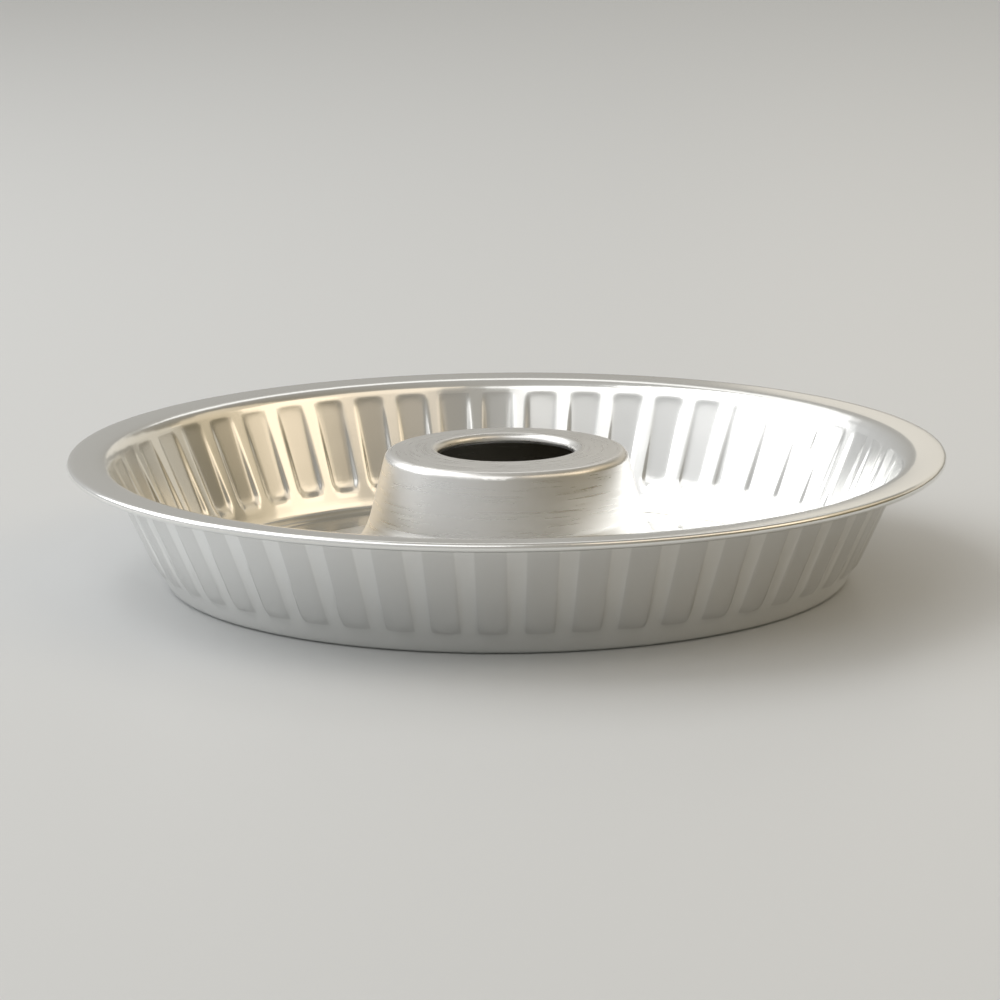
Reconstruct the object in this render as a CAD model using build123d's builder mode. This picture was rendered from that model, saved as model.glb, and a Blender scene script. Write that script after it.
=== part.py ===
from build123d import *
import os
from math import asin, atan2, cos, hypot, pi, radians, sin, tan

# An angel food cake pan in pressed aluminium, in millimetres, standing on z = 0.
# The ring is one sheet: a flat ledge, a fluted cone wall, a flange and a curled bead on a
# steel wire. The loose bottom is a plate with the middle tube seamed to it, and lifts out.

# Sheets and wire
sheet = 0.7                   # the ring's aluminium sheet
plate_sheet = 0.7             # the loose bottom's sheet
tube_sheet = 0.7              # the tube's sheet
wire_diameter = 0.8           # steel wire inside the bead
wire_fit = 0.3                # air between the wire and the curl round it
half_sheet = sheet / 2

# The ring, measured at the middle of its sheet unless a line says otherwise
rim_radius = 140.0            # outside of the bead
rim_height = 40.4             # table to the top of the bead
flange_radius = 127.6         # where the wall would meet the flange
flange_height = 39.6          # height of that meeting
flange_fillet = 4.0           # bend from the wall into the flange
base_radius = 108.6           # where the wall would meet the bottom
base_fillet = 2.0             # bend from the wall into the bottom
ledge_bore = 101.8            # open bottom of the ring, at the edge of the sheet
curl_turn = 260.0             # degrees that the sheet turns round the wire

# Flutes pressed outward in the wall, measured along the wall's slope
flute_count = 51
flute_depth = 1.3
flute_draft = 45.0            # degrees, slope of a flute's sides and ends
flute_start = 8.4             # foot of the wall to the flat face of a flute
flute_end_gap = 5.0           # flat face of a flute to where the wall would meet the flange
flute_share = 0.54            # flat face of a flute as a share of the pitch
flute_foot_round = 3.2        # corner radius at a flute's lower end
flute_head_round = 1.6        # corner radius at its upper end
flute_turn = 6.6              # degrees from the X axis to the first flute

# The loose bottom
seat_clearance = 0.5          # between the plate and the ring, at the step and at the wall
step_run = 0.7                # width of the plate's step, which drops it into the ring
step_round = 0.3              # bends of that step, at the middle of the sheet
plate_bore = 70.0             # hole in the plate under the tube's foot

# The tube, measured at the middle of its sheet unless a line says otherwise
foot_radius = 82.0            # outer edge of the foot's flat flange
cone_foot_radius = 48.1       # where the cone would meet the flange
foot_fillet = 25.0            # flare from the cone into the flange
shoulder_radius = 38.3        # where the cone would meet the top
shoulder_height = 39.8
shoulder_fillet = 2.5
crest_height = 40.9           # where the top would meet the rolled lip
lip_radius = 22.2
lip_fillet = 1.9
lip_drop = 2.6                # length of the lip that turns down into the hole

os.makedirs("parts", exist_ok=True)

# The wall's line in a half section, from its foot to the flange
wall_foot_height = half_sheet
wall_rise = flange_height - wall_foot_height
wall_run = flange_radius - base_radius
wall_length = hypot(wall_run, wall_rise)
wall_lean = atan2(wall_run, wall_rise)

# The curl: its sheet turns round the wire, and the flange runs onto it without a kink
wire_radius = wire_diameter / 2
curl_radius = wire_radius + wire_fit + half_sheet
curl_reach = curl_radius + half_sheet
wire_ring_radius = rim_radius - curl_reach
wire_height = rim_height - curl_reach
flange_run = wire_ring_radius - flange_radius
flange_fall = wire_height - flange_height
flange_rise = atan2(flange_fall, flange_run) + asin(curl_radius / hypot(flange_run, flange_fall))
curl_start = (
    wire_ring_radius - curl_radius * sin(flange_rise),
    wire_height + curl_radius * cos(flange_rise),
)

# Ring: one line through the middle of the sheet, thickened, turned about the axis
with BuildPart() as ring_blank:
    with BuildSketch(Plane.XZ):
        with BuildLine():
            FilletPolyline(
                (ledge_bore + half_sheet, half_sheet),
                (base_radius, wall_foot_height),
                (flange_radius, flange_height),
                curl_start,
                radius=[base_fillet, flange_fillet],
            )
            CenterArc(
                (wire_ring_radius, wire_height),
                curl_radius,
                90 + flange_rise * 180 / pi,
                -curl_turn,
            )
            offset(amount=half_sheet)
        make_face()
    revolve(axis=Axis.Z)


def flute_corners(shrink):
    """Corners of one flute's flat face on the wall's slope: it widens upward with the cone."""
    half_angle = pi * flute_share / flute_count
    foot = flute_start + shrink
    head = wall_length - flute_end_gap - shrink
    low = (base_radius + flute_start * sin(wall_lean)) * tan(half_angle) - shrink
    high = (base_radius + head * sin(wall_lean)) * tan(half_angle) - shrink
    return [(-low, foot), (low, foot), (high, head), (-high, head)]


# One flute: a drafted pad on the outside, and the pocket behind it, one sheet deeper
draft = radians(flute_draft)
pocket_shrink = sheet * (1 - sin(draft)) / cos(draft)
pad_top = half_sheet + flute_depth
pocket_top = pad_top - sheet
wall_plane = Plane(
    origin=(base_radius, 0, wall_foot_height),
    x_dir=(0, 1, 0),
    z_dir=(cos(wall_lean), 0, -sin(wall_lean)),
)

with BuildPart() as flute_pad:
    with BuildSketch(wall_plane.offset(pad_top)) as pad_face:
        with BuildLine():
            Polyline(flute_corners(0), close=True)
        make_face()
        fillet(pad_face.vertices().group_by(Axis.Y)[0], flute_foot_round)
        fillet(pad_face.vertices().group_by(Axis.Y)[-1], flute_head_round)
    extrude(amount=-pad_top, taper=-flute_draft)

with BuildPart() as flute_pocket:
    with BuildSketch(wall_plane.offset(pocket_top)) as pocket_face:
        with BuildLine():
            Polyline(flute_corners(pocket_shrink), close=True)
        make_face()
        fillet(pocket_face.vertices().group_by(Axis.Y)[0], flute_foot_round - pocket_shrink)
        fillet(pocket_face.vertices().group_by(Axis.Y)[-1], flute_head_round - pocket_shrink)
    extrude(amount=-(pocket_top + sheet), taper=-flute_draft)

# The fluted wall: the blank with a pad and a pocket at each place
with BuildPart() as fluted_wall:
    add(ring_blank.part)
    with PolarLocations(0, flute_count, start_angle=flute_turn):
        add(flute_pad.part)
    with PolarLocations(0, flute_count, start_angle=flute_turn):
        add(flute_pocket.part, mode=Mode.SUBTRACT)

# Rim wire: a steel ring inside the curl
with BuildPart() as rim_wire:
    with BuildSketch(Plane.XZ):
        with Locations((wire_ring_radius, wire_height)):
            Circle(wire_radius)
    revolve(axis=Axis.Z)

# Base plate: it lies on the ledge, and its step drops it level with the ring's bottom
half_plate = plate_sheet / 2
plate_low = half_plate
plate_high = sheet + half_plate
step_outer = ledge_bore - seat_clearance - half_plate
plate_edge = base_radius - base_fillet * tan((pi / 2 - wall_lean) / 2) - seat_clearance

with BuildPart() as base_plate:
    with BuildSketch(Plane.XZ):
        with BuildLine():
            FilletPolyline(
                (plate_bore + half_plate, plate_low),
                (step_outer - step_run, plate_low),
                (step_outer, plate_high),
                (plate_edge - half_plate, plate_high),
                radius=step_round,
            )
            offset(amount=half_plate)
        make_face()
    revolve(axis=Axis.Z)

# Centre tube: foot flange on the plate, flared cone, rounded shoulder, lip rolled inward
half_tube = tube_sheet / 2
foot_height = plate_sheet + half_tube

with BuildPart() as centre_tube:
    with BuildSketch(Plane.XZ):
        with BuildLine():
            FilletPolyline(
                (foot_radius - half_tube, foot_height),
                (cone_foot_radius, foot_height),
                (shoulder_radius, shoulder_height),
                (lip_radius, crest_height),
                (lip_radius, crest_height - lip_drop),
                radius=[foot_fillet, shoulder_fillet, lip_fillet],
            )
            offset(amount=half_tube)
        make_face()
    revolve(axis=Axis.Z)

# The finished pieces, one file each
fluted_wall.part.label = "fluted_wall"
rim_wire.part.label = "rim_wire"
base_plate.part.label = "base_plate"
centre_tube.part.label = "centre_tube"
export_step(fluted_wall.part, "parts/fluted_wall.step")
export_step(rim_wire.part, "parts/rim_wire.step")
export_step(base_plate.part, "parts/base_plate.step")
export_step(centre_tube.part, "parts/centre_tube.step")
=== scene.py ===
from math import asin, atan2, cos, hypot, pi, radians, sin, tan

import bpy
from mathutils import Matrix, Vector


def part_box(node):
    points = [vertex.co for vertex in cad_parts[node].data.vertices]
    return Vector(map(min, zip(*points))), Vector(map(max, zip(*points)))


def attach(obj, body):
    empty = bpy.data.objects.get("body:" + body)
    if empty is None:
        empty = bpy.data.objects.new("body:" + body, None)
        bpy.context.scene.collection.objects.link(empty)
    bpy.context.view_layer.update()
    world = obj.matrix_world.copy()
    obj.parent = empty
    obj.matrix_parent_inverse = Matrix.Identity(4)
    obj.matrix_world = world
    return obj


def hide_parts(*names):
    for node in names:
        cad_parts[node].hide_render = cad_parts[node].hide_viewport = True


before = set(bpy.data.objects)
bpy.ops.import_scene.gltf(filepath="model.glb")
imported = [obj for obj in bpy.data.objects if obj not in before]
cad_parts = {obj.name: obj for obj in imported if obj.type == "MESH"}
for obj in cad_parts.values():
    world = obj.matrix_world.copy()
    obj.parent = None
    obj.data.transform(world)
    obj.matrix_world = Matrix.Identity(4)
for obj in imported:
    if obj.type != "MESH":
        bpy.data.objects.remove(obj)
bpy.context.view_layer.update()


# Fluted ring. One blank of soft 0.7 mm aluminium sheet, drawn into a cone, with 51 wide
# flutes pressed outward in its wall, so that a rounded rib is left between each two. The
# flange round its top ends in a bead that is curled over a steel wire.
mm = 0.001
sheet = 0.7 * mm
ledge_bore = 101.8 * mm
foot_radius = 108.6 * mm         # where the wall would meet the ledge, mid sheet
foot_bend = 2.0 * mm
flange_radius = 127.6 * mm       # where the wall would meet the flange, mid sheet
flange_height = 39.6 * mm
flange_bend = 4.0 * mm
bead_radius = 1.05 * mm          # mid sheet
bead_turn = radians(260)
bead_steps = 8
bend_steps = 2
ring_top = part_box("fluted_wall")[1]
bead_middle = (ring_top.x - sheet / 2 - bead_radius, ring_top.z - sheet / 2 - bead_radius)

flute_count = 51
pitch = 2 * pi / flute_count
flute_turn = radians(6.6)        # the first flute's middle
flute_foot_depth = 1.0 * mm
flute_head_depth = 0.12 * mm
flute_foot = 8.4 * mm            # foot of the wall to a flute's face, along the slope
flute_head_gap = 5.0 * mm        # a flute's face to the flange, along the slope
flute_foot_slope = 1.8 * mm      # from a face's foot down to the plain wall
flute_head_slope = 0.8 * mm      # from a face's head up to the plain wall
flute_round = 1.8 * mm           # a face's corners

# Lines up the wall in one pitch, four each side of a rib's middle, and where they stand as
# shares of the pitch from there
lines_per_flute = 8
rib_inner_share = 0.09
rib_edge_share = 0.138
flute_edge_share = 0.212
flute_inner_share = 0.28

wall_lean = atan2(flange_radius - foot_radius, flange_height - sheet / 2)
wall_length = hypot(flange_radius - foot_radius, flange_height - sheet / 2)
flute_head = wall_length - flute_head_gap


def on_wall(distance):
    """Radius and height at that distance up the wall, mid sheet."""
    return foot_radius + distance * sin(wall_lean), sheet / 2 + distance * cos(wall_lean)


def bend(middle, radius, start, turn, steps):
    """Radii and heights along a bend about its middle, from a start angle."""
    angles = [start + turn * i / steps for i in range(steps + 1)]
    return [(middle[0] + radius * cos(a), middle[1] + radius * sin(a)) for a in angles]


# The middle of the sheet in a half section, from the ledge to the end of the bead
foot_middle = (
    foot_radius - foot_bend * tan((pi / 2 - wall_lean) / 2),
    sheet / 2 + foot_bend,
)
flange_run = bead_middle[0] - flange_radius
flange_fall = bead_middle[1] - flange_height
flange_rise = atan2(flange_fall, flange_run) + asin(bead_radius / hypot(flange_run, flange_fall))
flange_half = (pi / 2 - wall_lean - flange_rise) / 2
flange_start = on_wall(wall_length - flange_bend * tan(flange_half))
flange_middle = (
    flange_start[0] + flange_bend * cos(wall_lean),
    flange_start[1] - flange_bend * sin(wall_lean),
)
face_rows = [
    flute_foot, flute_foot + flute_round, flute_foot + 2 * flute_round,
    (flute_foot + flute_head) / 2,
    flute_head - 2 * flute_round, flute_head - flute_round, flute_head,
]
wall_rows = (
    [flute_foot - 2 * flute_foot_slope, flute_foot - flute_foot_slope]
    + face_rows
    + [flute_head + flute_head_slope, flute_head + 2 * flute_head_slope]
)
profile = (
    [(ledge_bore, sheet / 2), (ledge_bore + sheet, sheet / 2)]
    + bend(foot_middle, foot_bend, -pi / 2, pi / 2 - wall_lean, bend_steps)
    + [on_wall(row) for row in wall_rows]
    + bend(flange_middle, flange_bend, pi - wall_lean, -2 * flange_half, bend_steps)
    + bend(bead_middle, bead_radius, pi / 2 + flange_rise, -bead_turn, bead_steps)
)

bpy.ops.object.select_all(action="DESELECT")
bpy.ops.mesh.primitive_circle_add(vertices=lines_per_flute * flute_count, radius=profile[0][0])
fluted_ring = bpy.context.object
fluted_ring.name = "fluted_ring"
bpy.ops.object.mode_set(mode="EDIT")


def select_corners(piece, wanted):
    """Selects, in edit mode, the corners for which wanted(place) is true."""
    bpy.ops.mesh.select_mode(type="VERT")
    bpy.ops.mesh.select_all(action="DESELECT")
    bpy.ops.object.mode_set(mode="OBJECT")
    for corner in piece.data.vertices:
        corner.select = wanted(corner.co)
    bpy.ops.object.mode_set(mode="EDIT")


def rib_share(place):
    """How far round a place lies from the nearest rib's middle, as a share of the pitch."""
    turn = (atan2(place.y, place.x) - flute_turn) / pitch + 0.5
    return (turn + 0.5) % 1 - 0.5


# The circle's corners stand evenly. They are turned, one line at a time, to the edges of the
# ribs and flutes that they draw up the wall.
even_share = 1 / lines_per_flute
line_slack = even_share / 8
select_corners(fluted_ring, lambda place: True)
first_turn = rib_share(fluted_ring.data.vertices[0].co) * pitch - pitch * even_share / 2
bpy.ops.transform.rotate(value=first_turn, orient_axis="Z", center_override=(0, 0, 0))
line_shares = (rib_inner_share, rib_edge_share, flute_edge_share, flute_inner_share)
for order, line_share in enumerate(line_shares):
    start_share = (order + 0.5) * even_share
    line_turn = (line_share - start_share) * pitch
    for side in (-1, 1):
        select_corners(fluted_ring, lambda place: (
            abs(rib_share(place) - side * start_share) < line_slack))
        bpy.ops.transform.rotate(
            value=-side * line_turn, orient_axis="Z", center_override=(0, 0, 0))

bpy.ops.mesh.select_all(action="SELECT")
bpy.ops.transform.translate(value=(0, 0, profile[0][1]))
for (radius, height), (next_radius, next_height) in zip(profile, profile[1:]):
    bpy.ops.mesh.extrude_region_move()
    grow = next_radius / radius
    bpy.ops.transform.resize(value=(grow, grow, 1), center_override=(0, 0, 0))
    bpy.ops.transform.translate(value=(0, 0, next_height - height))

# Press the flutes outward, one row of their faces at a time: deepest at the foot, and fading
# out towards the head. The corners of the first and last row stay back, which rounds a face.
row_slack = flute_head_slope / 4
share_slack = 0.01
for row in face_rows:
    row_radius, row_height = on_wall(row)
    edge_share = rib_edge_share if flute_foot < row < flute_head else flute_edge_share
    select_corners(fluted_ring, lambda place: (
        abs(place.z - row_height) < row_slack
        and place.xy.length < flange_radius
        and abs(rib_share(place)) > edge_share + share_slack))
    rise_share = (row - flute_foot) / (flute_head - flute_foot)
    depth = flute_foot_depth + (flute_head_depth - flute_foot_depth) * rise_share
    grow = 1 + depth * cos(wall_lean) / row_radius
    bpy.ops.transform.resize(value=(grow, grow, 1), center_override=(0, 0, 0))
    bpy.ops.transform.translate(value=(0, 0, -depth * sin(wall_lean)))
bpy.ops.object.mode_set(mode="OBJECT")

smooth = fluted_ring.modifiers.new("bends", "SUBSURF")
smooth.levels = 1
smooth.render_levels = 1
bpy.ops.object.modifier_apply(modifier=smooth.name)
thicken = fluted_ring.modifiers.new("sheet", "SOLIDIFY")
thicken.thickness = sheet
thicken.offset = 0
bpy.ops.object.modifier_apply(modifier=thicken.name)
bpy.ops.object.shade_smooth()

# The flutes' faces are a little rougher than the ribs, and painted a little darker: painted
# shade, as the faces look greyer by what they mirror. The corners on them are marked, for the
# finish to read.
face_low = on_wall(flute_foot - flute_head_slope)[1]
face_high = on_wall(flute_head + flute_head_slope)[1]
face_edge_share = (rib_edge_share + flute_edge_share) / 2
flute_face_marks = fluted_ring.data.attributes.new("flute_face", "FLOAT", "POINT")
for corner, mark in zip(fluted_ring.data.vertices, flute_face_marks.data):
    on_face = face_low < corner.co.z < face_high and corner.co.xy.length < flange_radius
    mark.value = float(on_face and abs(rib_share(corner.co)) > face_edge_share)


def paint(hex_colour):
    """Turns an sRGB hex colour into the linear values that a shader takes."""
    channels = [int(hex_colour[i:i + 2], 16) / 255 for i in (1, 3, 5)]
    return [c / 12.92 if c <= 0.04045 else ((c + 0.055) / 1.055) ** 2.4 for c in channels] + [1]


def add_node(tree, kind, settings, links=None):
    """Adds a node to a material: its options and unlinked inputs, then its linked inputs."""
    made = tree.nodes.new(kind)
    for name, value in settings.items():
        if isinstance(name, int) or name in made.inputs:
            made.inputs[name].default_value = value
        else:
            setattr(made, name, value)
    for name, output in (links or {}).items():
        tree.links.new(output, made.inputs[name])
    return made


def new_finish(name):
    """An empty material of that name, and its node tree."""
    finish = bpy.data.materials.new(name)
    finish.use_nodes = True
    finish.node_tree.nodes.clear()
    return finish, finish.node_tree


def lathe_place(tree, circle):
    """A place for noise that draws long fine lines round the axis, without a seam: its height
    with its way round, which is shrunk to a circle of that radius. Then its distance from the
    axis, for the noise's W, and its direction outward."""
    place = add_node(tree, "ShaderNodeTexCoord", {})
    flat = add_node(tree, "ShaderNodeVectorMath", {"operation": "MULTIPLY", 1: (1, 1, 0)},
                    {0: place.outputs["Object"]})
    rise = add_node(tree, "ShaderNodeVectorMath", {"operation": "MULTIPLY", 1: (0, 0, 1)},
                    {0: place.outputs["Object"]})
    radius = add_node(tree, "ShaderNodeVectorMath", {"operation": "LENGTH"},
                      {0: flat.outputs["Vector"]})
    outward = add_node(tree, "ShaderNodeVectorMath", {"operation": "NORMALIZE"},
                       {0: flat.outputs["Vector"]})
    small = add_node(tree, "ShaderNodeVectorMath", {"operation": "SCALE", "Scale": circle},
                     {0: outward.outputs["Vector"]})
    vector = add_node(tree, "ShaderNodeVectorMath", {"operation": "ADD"},
                      {0: small.outputs["Vector"], 1: rise.outputs["Vector"]})
    return vector.outputs["Vector"], radius.outputs["Value"], outward.outputs["Vector"]


# Pressed aluminium sheet: a bright metal that mirrors softly. It is a little wavy over a
# flute's width, and fine lines from the drawing die run round it. The real lines are finer
# than these, which are as coarse as they need to be to show.
wave_width = 14 * mm
wave_depth = 0.03 * mm
die_line_spacing = 0.9 * mm
die_line_depth = 0.002 * mm
ring_finish, tree = new_finish("pressed_aluminium")
place = add_node(tree, "ShaderNodeTexCoord", {})
ripple = add_node(tree, "ShaderNodeTexNoise", {"Scale": 1 / wave_width, "Detail": 1.0},
                  {"Vector": place.outputs["Object"]})
waves = add_node(tree, "ShaderNodeBump", {"Distance": wave_depth},
                 {"Height": ripple.outputs["Fac"]})
vector, radius = lathe_place(tree, circle=2 * mm)[:2]
lines = add_node(tree, "ShaderNodeTexNoise", {
    "noise_dimensions": "4D", "Scale": 1 / die_line_spacing, "Detail": 3.0,
}, {"Vector": vector, "W": radius})
drawn = add_node(tree, "ShaderNodeBump", {"Distance": die_line_depth},
                 {"Height": lines.outputs["Fac"], "Normal": waves.outputs["Normal"]})
faces = add_node(tree, "ShaderNodeAttribute", {"attribute_name": "flute_face"})
# painted shade: the flutes' faces get a darker colour than the ribs
colour = add_node(tree, "ShaderNodeMix", {
    "data_type": "RGBA", 6: paint("#F0F0EE"), 7: paint("#DFDFDD"),
}, {"Factor": faces.outputs["Fac"]})
dullness = add_node(tree, "ShaderNodeMapRange", {"To Min": 0.17, "To Max": 0.21},
                    {"Value": faces.outputs["Fac"]})
shader = add_node(tree, "ShaderNodeBsdfPrincipled", {"Metallic": 1.0}, {
    "Base Color": colour.outputs[2],
    "Roughness": dullness.outputs["Result"],
    "Normal": drawn.outputs["Normal"],
})
add_node(tree, "ShaderNodeOutputMaterial", {}, {"Surface": shader.outputs["BSDF"]})
fluted_ring.data.materials.append(ring_finish)
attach(fluted_ring, "ring")
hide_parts("fluted_wall")


# Rim wire. A ring of 0.8 mm steel wire that is laid under the flange's edge before the bead
# is curled round it. It keeps the thin rim stiff, and the bead hides it.
rim_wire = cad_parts["rim_wire"]

# Tinned steel: a grey metal, duller than the sheet, as drawn wire is
wire_finish, tree = new_finish("tinned_steel_wire")
shader = add_node(tree, "ShaderNodeBsdfPrincipled", {
    "Base Color": paint("#B9B9B6"),
    "Metallic": 1.0,
    "Roughness": 0.35,
})
add_node(tree, "ShaderNodeOutputMaterial", {}, {"Surface": shader.outputs["BSDF"]})
rim_wire.material_slots[0].material = wire_finish


# Base plate. A ring-shaped disc of 0.7 mm aluminium with a pressed step near its edge, which
# drops it into the ring's ledge. It is loose, and carries the tube.
base_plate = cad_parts["base_plate"]

# Rolled aluminium sheet: the shiniest of the three, with the faint rings of the turned die
# that stepped it, drawn coarser than they are
die_ring_spacing = 1.2 * mm
die_ring_depth = 0.004 * mm
plate_finish, tree = new_finish("rolled_aluminium")
vector, radius = lathe_place(tree, circle=4 * mm)[:2]
rings = add_node(tree, "ShaderNodeTexNoise", {
    "noise_dimensions": "4D", "Scale": 1 / die_ring_spacing, "Detail": 3.0,
}, {"Vector": vector, "W": radius})
stepped = add_node(tree, "ShaderNodeBump", {"Distance": die_ring_depth},
                   {"Height": rings.outputs["Fac"]})
sheen = add_node(tree, "ShaderNodeMapRange", {
    "From Min": 0.3, "From Max": 0.7, "To Min": 0.10, "To Max": 0.20,
}, {"Value": rings.outputs["Fac"]})
shader = add_node(tree, "ShaderNodeBsdfPrincipled", {
    "Base Color": paint("#E0DFDB"),
    "Metallic": 1.0,
}, {"Roughness": sheen.outputs["Result"], "Normal": stepped.outputs["Normal"]})
add_node(tree, "ShaderNodeOutputMaterial", {}, {"Surface": shader.outputs["BSDF"]})
base_plate.material_slots[0].material = plate_finish


# Centre tube. Spun from the same aluminium over a former: a broad foot that is seamed to the
# plate, a flared cone, a rounded shoulder and a lip rolled down into the hole.
centre_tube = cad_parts["centre_tube"]
inside_height = 37.8 * mm        # below this, what faces the axis is the tube's inside
inward_limit = -0.05             # a normal that points outward by less faces the axis
downward_limit = -0.5            # a normal that points upward by less is on the underside

# Spun aluminium: the polishing belt leaves long fine lines round it, drawn coarser than they
# are. Its inside and underside are painted dark: painted shade, for the shade in the hole and
# under the tube.
belt_line_spacing = 0.6 * mm
belt_line_depth = 0.003 * mm
tube_finish, tree = new_finish("spun_aluminium")
vector, radius, outward = lathe_place(tree, circle=1.5 * mm)
lines = add_node(tree, "ShaderNodeTexNoise", {
    "noise_dimensions": "4D", "Scale": 1 / belt_line_spacing, "Detail": 4.0,
}, {"Vector": vector, "W": radius})
turned = add_node(tree, "ShaderNodeBump", {"Distance": belt_line_depth},
                  {"Height": lines.outputs["Fac"]})
sheen = add_node(tree, "ShaderNodeMapRange", {
    "From Min": 0.3, "From Max": 0.7, "To Min": 0.24, "To Max": 0.38,
}, {"Value": lines.outputs["Fac"]})
face = add_node(tree, "ShaderNodeNewGeometry", {})
facing_out = add_node(tree, "ShaderNodeVectorMath", {"operation": "DOT_PRODUCT"},
                      {0: face.outputs["Normal"], 1: outward})
facing_in = add_node(tree, "ShaderNodeMath", {"operation": "LESS_THAN", 1: inward_limit},
                     {0: facing_out.outputs["Value"]})
face_parts = add_node(tree, "ShaderNodeSeparateXYZ", {}, {"Vector": face.outputs["Normal"]})
facing_down = add_node(tree, "ShaderNodeMath", {"operation": "LESS_THAN", 1: downward_limit},
                       {0: face_parts.outputs["Z"]})
place = add_node(tree, "ShaderNodeTexCoord", {})
place_parts = add_node(tree, "ShaderNodeSeparateXYZ", {}, {"Vector": place.outputs["Object"]})
low = add_node(tree, "ShaderNodeMath", {"operation": "LESS_THAN", 1: inside_height},
               {0: place_parts.outputs["Z"]})
hollow = add_node(tree, "ShaderNodeMath", {"operation": "MULTIPLY"},
                  {0: facing_in.outputs["Value"], 1: low.outputs["Value"]})
painted_shade_mask = add_node(tree, "ShaderNodeMath", {"operation": "MAXIMUM"},
                      {0: hollow.outputs["Value"], 1: facing_down.outputs["Value"]})
# painted shade: what faces the axis low down, and what faces down, gets a dark colour
colour = add_node(tree, "ShaderNodeMix", {
    "data_type": "RGBA", 6: paint("#E4E3E0"), 7: paint("#6B675C"),
}, {"Factor": painted_shade_mask.outputs["Value"]})
shader = add_node(tree, "ShaderNodeBsdfPrincipled", {"Metallic": 1.0}, {
    "Base Color": colour.outputs[2],
    "Roughness": sheen.outputs["Result"],
    "Normal": turned.outputs["Normal"],
})
add_node(tree, "ShaderNodeOutputMaterial", {}, {"Surface": shader.outputs["BSDF"]})
centre_tube.material_slots[0].material = tube_finish


# Table. One flat pale board under the pan, so broad that its far edge is out of the picture.
# It is the stage, and no part of the object.
table_width = 8
bpy.ops.object.select_all(action="DESELECT")
bpy.ops.mesh.primitive_plane_add(size=table_width, location=(0, 0, 0))
table = bpy.context.object
table.name = "table"

# Lacquered board: pale and even, and dull enough that it hardly mirrors the pan
table_finish, tree = new_finish("pale_lacquered_board")
shader = add_node(tree, "ShaderNodeBsdfPrincipled", {
    "Base Color": paint("#D3D5D6"),
    "Roughness": 0.42,
})
add_node(tree, "ShaderNodeOutputMaterial", {}, {"Surface": shader.outputs["BSDF"]})
table.data.materials.append(table_finish)


# Camera. A long lens that looks about 12 degrees down on the pan, turned slightly about its
# own axis, as in the photograph. Its place and its aim are in metres.
camera_data = bpy.data.cameras.new("camera")
camera_data.sensor_width = 36
camera_data.lens = 147.8
camera_data.clip_end = 20
camera = bpy.data.objects.new("camera", camera_data)
bpy.context.scene.collection.objects.link(camera)
camera_place = Vector((0, -1.28698, 0.29575))
camera_aim = Vector((-0.00217, 0.00077, 0.02358))
camera_roll = -0.00859
camera.location = camera_place
look = (camera_aim - camera_place).to_track_quat("-Z", "Y").to_matrix()
camera.rotation_euler = (look @ Matrix.Rotation(camera_roll, 3, "Z")).to_euler()
bpy.context.scene.camera = camera


# Lamps. Broad soft boxes, white on the left and behind, warm on the right. Bright metal shows
# what stands round it, so they are placed for what the pan mirrors as much as for its shadow.
def softbox(name, place, aim, size, watts, colour):
    """A flat lamp of that width and height, turned to its aim."""
    lamp = bpy.data.lights.new(name, "AREA")
    lamp.shape = "RECTANGLE"
    lamp.size, lamp.size_y = size
    lamp.energy = watts
    lamp.color = paint(colour)[:3]
    body = bpy.data.objects.new(name, lamp)
    body.location = place
    body.rotation_euler = (Vector(aim) - Vector(place)).to_track_quat("-Z", "Y").to_euler()
    bpy.context.scene.collection.objects.link(body)


# The main light, from the left: it throws the shadow to the right
softbox("window", place=(-1.147, 0.55, 1.217), aim=(0.153, 0.55, 0.217), size=(1.5, 1.7),
        watts=17, colour="#FFFFFF")

# High on the left front: its lower edge parts bright ribs from greyer flutes at the far side
softbox("high_window", place=(-0.837, -0.681, 1.385), aim=(-0.371, 0.197, 0.02),
        size=(1.94, 0.8), watts=5, colour="#FFFFFF")

# High behind the pan, and the widest of them
softbox("back_window", place=(-0.5, 2.3, 2.0), aim=(0, 0, 0.02), size=(3.0, 0.83),
        watts=6, colour="#FFFFFF")

# On the right: the warm light that the left half of the ring mirrors
softbox("warm_wall", place=(1.438, -0.362, 1.385), aim=(0.971, 0.516, 0.02),
        size=(2.3, 0.8), watts=5, colour="#F6E4CC")
softbox("warm_side", place=(1.5, 0.2, 1.12), aim=(0, -0.05, 0.02), size=(2.0, 0.9),
        watts=3, colour="#F3DFC0")

# Low behind on the right: it grazes the inside of the ring's left end
softbox("far_wall", place=(1.13, 1.89, 0.68), aim=(0, 0, 0.02), size=(2.2, 0.6),
        watts=1.8, colour="#F8F0E2")


# Room. What the metal mirrors beside the lamps: pale cool walls on the left, which turn
# darker and warmer to the right.
world = bpy.data.worlds.new("room")
bpy.context.scene.world = world
world.use_nodes = True
tree = world.node_tree
place = add_node(tree, "ShaderNodeTexCoord", {})
across = add_node(tree, "ShaderNodeSeparateXYZ", {}, {"Vector": place.outputs["Generated"]})
side = add_node(tree, "ShaderNodeMapRange", {"From Min": -1.0, "From Max": 1.0},
                {"Value": across.outputs["X"]})
walls = add_node(tree, "ShaderNodeValToRGB", {}, {"Fac": side.outputs["Result"]})
walls.color_ramp.elements[0].color = paint("#E2E3E4")
walls.color_ramp.elements[1].color = paint("#7F7459")
tree.links.new(walls.outputs["Color"], tree.nodes["Background"].inputs["Color"])
tree.nodes["Background"].inputs["Strength"].default_value = 0.88

bpy.context.scene.view_settings.view_transform = "Standard"
